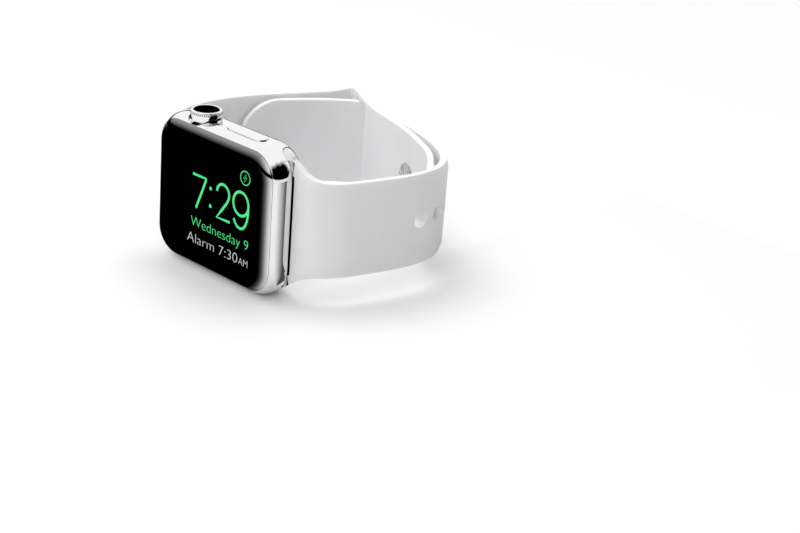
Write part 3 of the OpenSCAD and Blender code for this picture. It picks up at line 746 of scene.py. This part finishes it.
def flatBand(name, length, halfAt, thickAt, tipHalf):
    # lies along X from -1.6 to length, its outer face towards +Y; the round tip is at the far end
    start = strap["start"]
    low, high = Vector((start, 0, centreZ - tipHalf)), Vector((length, 0, centreZ + tipHalf))
    deselect()
    bpy.ops.mesh.primitive_plane_add(size=1, location=(low + high) / 2 * mm, rotation=(math.pi / 2, 0, 0))
    band = added(name)
    band.scale = ((length - start) * mm, 2 * tipHalf * mm, 1)
    settle(band)
    pickPoints(band, lambda p: p.x > length - 0.1)
    bpy.ops.mesh.bevel(offset=tipHalf * 0.995 * mm, segments=28, affect="VERTICES")
    columns = round((length - start) / strap["column"])
    for k in range(1, columns):
        x = start + (length - start) * k / columns
        bpy.ops.mesh.select_all(action="SELECT")
        bpy.ops.mesh.bisect(plane_co=(x * mm, 0, 0), plane_no=(1, 0, 0))
    for k in range(-2, 3):
        bpy.ops.mesh.select_all(action="SELECT")
        bpy.ops.mesh.bisect(plane_co=(0, 0, midZ + k * 3.6 * mm), plane_no=(0, 0, 1))
    bpy.ops.mesh.select_all(action="SELECT")
    bpy.ops.mesh.extrude_region_move(TRANSFORM_OT_translate={"value": (0, strap["thick"] * mm, 0)})
    bpy.ops.mesh.select_all(action="SELECT")
    bpy.ops.transform.translate(value=(0, -strap["thick"] / 2 * mm, 0))
    bpy.ops.mesh.normals_make_consistent(inside=False)
    bpy.ops.object.mode_set(mode="OBJECT")
    # soft edges: the outer rim is rounded, the inner face falls away towards its edges
    pickFaces(band, lambda p, n: n.y < -0.9)
    bpy.ops.mesh.inset(thickness=strap["innerBand"] * mm)
    pickSharp(band, 60, lambda a, b: a.y < 0 and b.y < 0 and min(a.x, b.x) > start + 0.3)
    bpy.ops.transform.translate(value=(0, strap["innerDrop"] * mm, 0))
    roundEdges(0.45, 5)
    pickSharp(band, 60, lambda a, b: a.y > 0.9 and b.y > 0.9 and min(a.x, b.x) > start + 0.3)
    roundEdges(strap["outerEdge"], 7)
    bpy.ops.object.mode_set(mode="OBJECT")
    # the width and thickness change along it
    mesh = band.data
    for point in mesh.vertices:
        s = point.co.x / mm
        point.co.z = midZ + (point.co.z - midZ) * halfAt(s) / tipHalf
        point.co.y *= thickAt(s)
    return band


def ease(t):
    t = max(0, min(1, t))
    return t * t * (3 - 2 * t)


def thickness(s):
    # the band's thickness at distance s from its root, as a share of its usual thickness
    return 1 + (strap["thickAtLug"] / strap["thick"] - 1) * (1 - ease(s / strap["fadeOver"]))


def bend(band, line, name):
    deselect()
    bpy.ops.curve.primitive_nurbs_path_add(location=(0, 0, midZ))
    path = bpy.context.active_object
    path.name = name
    shape = path.data
    shape.splines.clear()
    shape.dimensions = "2D"
    spline = shape.splines.new("POLY")
    spline.points.add(len(line) - 1)
    for point, place in zip(spline.points, line):
        point.co = (place.x * mm, place.y * mm, 0, 1)
    useModifier(band, "CURVE", object=path, deform_axis="POS_X")
    bpy.data.objects.remove(path)


def addLug(name, side):
    lug = addDisc(name, strap["lugR"], -1, 37, (side * case["lugX"], case["lugY"], 0), "Z", 64)
    cut(lug, roundedBody("envelope", 0.12), "INTERSECT")
    pickSharp(lug, 28, lambda a, b: True)
    roundEdges(0.28, 4)
    bpy.ops.object.mode_set(mode="OBJECT")
    x = side * case["lugX"]
    cut(lug, addDisc("latchPocket", strap["latchR"], 1.55, 9, (x, 0, centreZ), "Y", 32))
    return lug


def finishStrap(band, name, side, nodes):
    band.data.materials.append(rubber)
    band.data.materials.append(capBlack)     # painted shade: a dark strip where the front face goes into the channel
    straight = case["wide"] / 2 - case["corner"]
    for face in band.data.polygons:
        p = face.center / mm
        past = max(0, abs(p.z - centreZ) - straight)
        outline = strap["paintedShadeTo"] - case["corner"] + math.sqrt(max(0, case["corner"] ** 2 - past ** 2))
        if past < 4.6 and outline - 1.0 < abs(p.x) < outline - 0.06 * past and p.y < case["lugY"]:
            face.material_index = 1
    lug = addLug("lug" + name, side)
    lug.data.materials.append(rubber)
    focus(lug)
    band.select_set(True)
    bpy.context.view_layer.objects.active = band
    bpy.ops.object.join()
    tidy(band, 40)
    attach(band, "strap")
    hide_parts(*nodes)
    return band


def makeLongHalf():
    c = longHalf
    line, length = bentLine(c["line"])
    band = flatBand("strapLongHalf", length, lambda s: between(c["half"], s), thickness, c["tip"])
    for k in range(-c["before"], c["after"] + 1):
        s = c["studS"] + k * c["pitch"]
        cut(band, addDisc("strapHole", c["holeR"], -4, 4, (s, 0, centreZ), "Y", 48))
        pickSharp(band, 50, lambda a, b: all(
            abs(math.hypot(p.x - s, p.z - centreZ) - c["holeR"]) < 0.02 for p in (a, b)))
        roundEdges(0.16, 3)
    bpy.ops.object.mode_set(mode="OBJECT")
    bend(band, [Vector((p.x, p.y)) for p in line], "longPath")
    return finishStrap(band, "Long", 1, ["strap_long_half"])


def flipOuterFace(band):
    # the outer face changes sides for a half that is bent from its lug backwards
    focus(band)
    bpy.ops.object.mode_set(mode="EDIT")
    bpy.ops.mesh.select_all(action="SELECT")
    bpy.ops.transform.resize(value=(1, -1, 1), center_override=(0, 0, midZ))
    bpy.ops.mesh.normals_make_consistent(inside=False)
    bpy.ops.object.mode_set(mode="OBJECT")


def makeShortHalf():
    c = shortHalf
    line, length = bentLine(c["line"])
    # this half runs from its free end to the lug, so it is bent the other way round
    back = list(reversed(line))
    band = flatBand("strapShortHalf", length, lambda s: between(c["half"], s), thickness, c["tip"])
    flipOuterFace(band)
    slotS = length - c["slotS"]
    slot = addBlock("tuckSlot", (slotS - c["slotLong"] / 2, -4, centreZ - c["slotHalf"]),
                    (slotS + c["slotLong"] / 2, 4, centreZ + c["slotHalf"]))
    pickEdges(slot, lambda a, b: abs(a.y - b.y) > 4)
    roundEdges(c["slotCorner"], 8)
    bpy.ops.object.mode_set(mode="OBJECT")
    cut(band, slot)
    pickSharp(band, 50, lambda a, b: all(abs(p.x - slotS) < c["slotLong"] / 2 + 0.05
                                         and abs(p.z - centreZ) < c["slotHalf"] + 0.05 for p in (a, b)))
    roundEdges(0.22, 3)
    bpy.ops.object.mode_set(mode="OBJECT")
    studS = length - c["studS"]
    cut(band, addDisc("studHole", c["studHoleR"], -4, 4, (studS, 0, centreZ), "Y", 48))
    cut(band, addDisc("studSeat", c["seatR"], c["seatLow"], 4, (studS, 0, centreZ), "Y", 96))
    bend(band, [Vector((p.x, p.y)) for p in back], "shortPath")
    return finishStrap(band, "Short", -1, ["strap_short_half"])


makeLongHalf()
makeShortHalf()
print("strap done")


# ---- Lit figures on the display ----

figures = {"front": -5.262, "stroke": 0.66, "ringStroke": 0.24, "boltStroke": 0.2,
           "dots": [(0.23, 4.07), (0.31, -0.16)], "dotR": 0.46,
           "seven": [(-6.15, 5.85), (-1.45, 5.9), (-1.5, 5.5), (-2.3, 3.5), (-3.3, 1.2), (-4.76, -2.15)],
           "ringAt": (11.97, 10.04), "ringR": 1.6,
           "bolt": [(0.28, 1.0), (-0.62, -0.12), (-0.08, -0.12), (-0.28, -1.0), (0.62, 0.12), (0.08, 0.12)],
           "lines": [("dateLine", "Wednesday 9", -6.44, 13.85, -6.8, -4.5, "green"),
                     ("alarmLine", "Alarm 7:30", -7.59, 10.35, -10.95, -8.6, "grey"),
                     ("alarmHalf", "AM", 10.75, 13.9, -10.95, -9.25, "grey")]}


def arc(x, z, rx, rz, start, end, steps=18):
    turns = [math.radians(start + (end - start) * k / steps) for k in range(steps + 1)]
    return [(x + rx * math.cos(t), z + rz * math.sin(t)) for t in turns]


def addStroke(name, points, width, closed=False):
    # a line of round section, pressed almost flat on the glass
    deselect()
    bpy.ops.curve.primitive_nurbs_path_add(location=(0, 0, 0))
    stroke = added(name)
    shape = stroke.data
    shape.splines.clear()
    spline = shape.splines.new("POLY")
    spline.points.add(len(points) - 1)
    for point, (x, z) in zip(spline.points, points):
        point.co = (x * mm, 0, (z + centreZ) * mm, 1)
    spline.use_cyclic_u = closed
    shape.bevel_depth = width / 2 * mm
    shape.bevel_resolution = 2
    shape.use_fill_caps = True
    bpy.ops.object.convert(target="MESH")
    stroke.scale.y = 0.05
    stroke.location.y = figures["front"] * mm
    return settle(stroke)


def addTextLine(name, words, left, right, low, high):
    deselect()
    bpy.ops.object.text_add()
    line = added(name)
    line.data.body = words
    line.data.size = 3 * mm
    line.data.offset = -0.055 * mm
    line.data.extrude = 0.01 * mm
    bpy.ops.object.convert(target="MESH")
    xs = [p.co.x for p in line.data.vertices]
    ys = [p.co.y for p in line.data.vertices if p.co.y > -0.05 * mm]
    line.rotation_euler.x = math.pi / 2
    wide = (right - left) * mm / (max(xs) - min(xs))
    tall = (high - low) * mm / max(ys)
    line.scale = (wide, tall, 1)
    line.location = (left * mm - min(xs) * wide, figures["front"] * mm, low * mm + midZ)
    return settle(line)


def makeFigures():
    c = figures
    w = c["stroke"]
    two = arc(4.62, 4.15, 2.14, 2.16, 178, -28, 20) + [(5.9, 2.05), (4.4, 0.15), (2.62, -2.1), (7.25, -1.98)]
    bowl = arc(10.83, 3.6, 2.6, 2.8, 0, 360, 40)[:-1]
    tail = [(13.43, 3.6), (13.42, 1.9), (13.15, 0.2), (12.55, -1.2), (11.75, -2.05), (10.9, -2.3),
            (9.9, -2.1), (9.1, -1.4), (8.62, -0.45)]
    group = [addStroke("hourFigure", c["seven"], w), addStroke("minuteFigureA", two, w),
             addStroke("minuteFigureB", bowl, w, True), addStroke("minuteFigureBTail", tail, w)]
    for k, (x, z) in enumerate(c["dots"]):
        ring = arc(x, z, c["dotR"] / 2, c["dotR"] / 2, 0, 330, 11)
        group.append(addStroke("colonDot%d" % k, ring, c["dotR"], True))
    x, z = c["ringAt"]
    ring = arc(x, z, c["ringR"], c["ringR"], 0, 352, 44)
    group.append(addStroke("chargeRing", ring, c["ringStroke"], True))
    group.append(addStroke("chargeBolt", [(x + a, z + b) for a, b in c["bolt"]], c["boltStroke"], True))
    for piece in group:
        finished(piece, "root", greenLight, "display_panel")
    for name, words, left, right, low, high, colour in c["lines"]:
        line = addTextLine(name, words, left, right, low, high)
        finished(line, "root", greenLight if colour == "green" else greyLight, "display_panel")


makeFigures()
print("figures done")


# ---- Stud: the turned base on the inside of the short half ----

stud = {"at": (13.544, 46.528), "outward": (0.3723, 0.9281), "baseR": 4.1, "face": -1.22, "back": -0.7,
        "edge": 0.12, "rim": 0.25, "dish": 3.2}


def turnedBasePaintedRays(name, centre, normal):
    # steel with painted highlights and shade in rays from the middle, standing in for the shine of its turned
    # grooves
    material, tree, shader, place = newMaterial(name)
    shader.inputs["Metallic"].default_value = 1
    frameOf = tree.nodes.new("ShaderNodeMapping")
    frameOf.vector_type = "TEXTURE"
    frameOf.inputs["Location"].default_value = centre
    frameOf.inputs["Rotation"].default_value = normal.to_track_quat("Z", "Y").to_euler()
    tree.links.new(place.outputs["Object"], frameOf.inputs["Vector"])
    turn = tree.nodes.new("ShaderNodeTexGradient")
    turn.gradient_type = "RADIAL"
    tree.links.new(frameOf.outputs["Vector"], turn.inputs["Vector"])
    rays = tree.nodes.new("ShaderNodeTexNoise")
    rays.noise_dimensions = "1D"
    rays.inputs["Scale"].default_value = 26
    rays.inputs["Detail"].default_value = 4
    rays.inputs["Roughness"].default_value = 0.6
    tree.links.new(turn.outputs["Color"], rays.inputs["W"])
    # painted highlight and shade: the base colour goes from dark to light along the rays
    tint(tree, rays, (0.2, 0.2, 0.2), (0.85, 0.85, 0.85), shader.inputs["Base Color"], 0.38, 0.62)
    grain = addNoise(tree, place, 2500, 3)
    spread(tree, grain, 0.3, 0.42, shader.inputs["Roughness"])
    return material


def makeStudBase():
    c = stud
    deselect()
    normal = Vector((*c["outward"], 0)).normalized()
    bpy.ops.mesh.primitive_cylinder_add(vertices=128, radius=c["baseR"] * mm,
                                        depth=(c["back"] - c["face"]) * mm)
    base = added("studBase")
    pickFaces(base, lambda p, n: n.z > 0.9)
    bpy.ops.mesh.bevel(offset=c["edge"] * mm, segments=4, affect="EDGES")
    bpy.ops.object.mode_set(mode="OBJECT")
    pickFaces(base, lambda p, n: n.z > 0.99)
    bpy.ops.mesh.inset(thickness=c["rim"] * mm)
    bpy.ops.transform.translate(value=(0, 0, -0.05 * mm))
    bpy.ops.mesh.inset(thickness=c["dish"] * mm)
    bpy.ops.transform.translate(value=(0, 0, 0.06 * mm))
    bpy.ops.object.mode_set(mode="OBJECT")
    centre = Vector((c["at"][0] * mm, c["at"][1] * mm, midZ)) + normal * (c["face"] + c["back"]) / 2 * mm
    base.rotation_euler = (-normal).to_track_quat("Z", "Y").to_euler()
    base.location = centre
    settle(base)
    tidy(base, 30)
    finish = turnedBasePaintedRays("turnedBasePaintedRays", centre, -normal)
    return finished(base, "strap", finish, "stud_steel", "stud_base")


makeStudBase()
print("stud done")


# ---- Floor and light ----

room = {"strength": 1.1, "floor": 0.94,
        "horizon": 0.15, "horizonSoft": 0.1,
        "flags": [((0.9, -0.05, 0.34), 22, 14), ((0.78, 0.45, 0.33), 18, 14), ((0.75, -0.5, 0.3), 15, 14)],
        "cardSize": 0.16, "cardAt": (0.101, 0.05, 0.0004), "cardHub": (0.021, 0, 0), "cardDark": 0.9,
        "lamps": [("keyLight", (-0.6, -0.2, 1.3), 0.8, 3.5), ("fillLight", (0.55, -0.9, 0.55), 0.7, 2.2),
                  ("loopLight", (-0.004, 0.03, 0.125), 0.05, 0.022)],
        "lampAim": (0, 0.02, 0.02)}


def combine(tree, operation, first, second):
    # two values brought together by one math node
    both = tree.nodes.new("ShaderNodeMath")
    both.operation = operation
    tree.links.new(first, both.inputs[0])
    tree.links.new(second, both.inputs[1])
    return both.outputs["Value"]


def makeStage():
    deselect()
    bpy.ops.mesh.primitive_plane_add(size=6, location=(0, 0, -0.0001))
    floor = added("floor")
    material, tree, shader, place = newMaterial("paleFloor")
    shader.inputs["Base Color"].default_value = (room["floor"], room["floor"], room["floor"] + 0.003, 1)
    haze = addNoise(tree, place, 3, 2)
    spread(tree, haze, 0.55, 0.62, shader.inputs["Roughness"])
    floor.data.materials.append(material)
    world = bpy.data.worlds.new("softRoom")
    bpy.context.scene.world = world
    world.use_nodes = True
    tree = world.node_tree
    background = tree.nodes["Background"]
    background.inputs["Strength"].default_value = room["strength"]
    place = tree.nodes.new("ShaderNodeTexCoord")
    light = None
    for spot, wide, soft in room["flags"]:
        # a dark flag: the angle from its middle, turned into 0 inside and 1 outside
        way = tree.nodes.new("ShaderNodeVectorMath")
        way.operation = "DOT_PRODUCT"
        way.inputs[1].default_value = Vector(spot).normalized()
        tree.links.new(place.outputs["Generated"], way.inputs[0])
        edge = tree.nodes.new("ShaderNodeMapRange")
        edge.inputs["From Min"].default_value = math.cos(math.radians(wide))
        edge.inputs["From Max"].default_value = math.cos(math.radians(wide + soft))
        tree.links.new(way.outputs["Value"], edge.inputs["Value"])
        result = edge.outputs["Result"]
        light = combine(tree, "MULTIPLY", light, result) if light else result
    # and a dark band just above the horizon, which gives polished edges their thin lines
    parts = tree.nodes.new("ShaderNodeSeparateXYZ")
    tree.links.new(place.outputs["Generated"], parts.inputs["Vector"])
    low = tree.nodes.new("ShaderNodeMapRange")
    low.inputs["From Min"].default_value = room["horizon"]
    low.inputs["From Max"].default_value = room["horizon"] + room["horizonSoft"]
    tree.links.new(parts.outputs["Z"], low.inputs["Value"])
    light = combine(tree, "MULTIPLY", light, low.outputs["Result"])
    shades = tree.nodes.new("ShaderNodeValToRGB")
    shades.color_ramp.elements[0].color = (0.0, 0.0, 0.0, 1)
    shades.color_ramp.elements[1].color = (1, 1, 1, 1)
    rays = tree.nodes.new("ShaderNodeLightPath")     # the open background itself stays plain
    seen = combine(tree, "MAXIMUM", light, rays.outputs["Is Camera Ray"])
    tree.links.new(seen, shades.inputs["Fac"])
    tree.links.new(shades.outputs["Color"], background.inputs["Color"])
    # a grey card low on the right, seen only in polished parts
    deselect()
    bpy.ops.mesh.primitive_grid_add(x_subdivisions=4, y_subdivisions=4, size=room["cardSize"],
                                    location=room["cardAt"])
    card = settle(added("greyCard"))
    finish, tree, shader, place = newMaterial("greyCardShade")
    shader.inputs["Base Color"].default_value = (0, 0, 0, 1)
    shader.inputs["Specular IOR Level"].default_value = 0
    fan = tree.nodes.new("ShaderNodeMapping")
    fan.vector_type = "TEXTURE"
    fan.inputs["Location"].default_value = room["cardHub"]
    tree.links.new(place.outputs["Object"], fan.inputs["Vector"])
    turn = tree.nodes.new("ShaderNodeTexGradient")
    turn.gradient_type = "RADIAL"
    tree.links.new(fan.outputs["Vector"], turn.inputs["Vector"])
    fade = tree.nodes.new("ShaderNodeMapRange")
    fade.inputs["From Min"].default_value = 0.5 - 25 / 360
    fade.inputs["From Max"].default_value = 0.5 + 32 / 360
    fade.inputs["To Max"].default_value = room["cardDark"]
    tree.links.new(turn.outputs["Color"], fade.inputs["Value"])
    tree.links.new(fade.outputs["Result"], shader.inputs["Alpha"])
    card.data.materials.append(finish)
    card.visible_camera = card.visible_diffuse = card.visible_shadow = card.visible_transmission = False
    for name, spot, size, power in room["lamps"]:
        bpy.ops.object.light_add(type="AREA", location=spot)
        lamp = bpy.context.active_object
        lamp.name = name
        lamp.data.size = size
        lamp.data.energy = power
        lamp.visible_camera = False
        lamp.visible_glossy = False
        lamp.rotation_euler = (Vector(room["lampAim"]) - Vector(spot)).to_track_quat("-Z", "Y").to_euler()


makeStage()
print("scene ready")
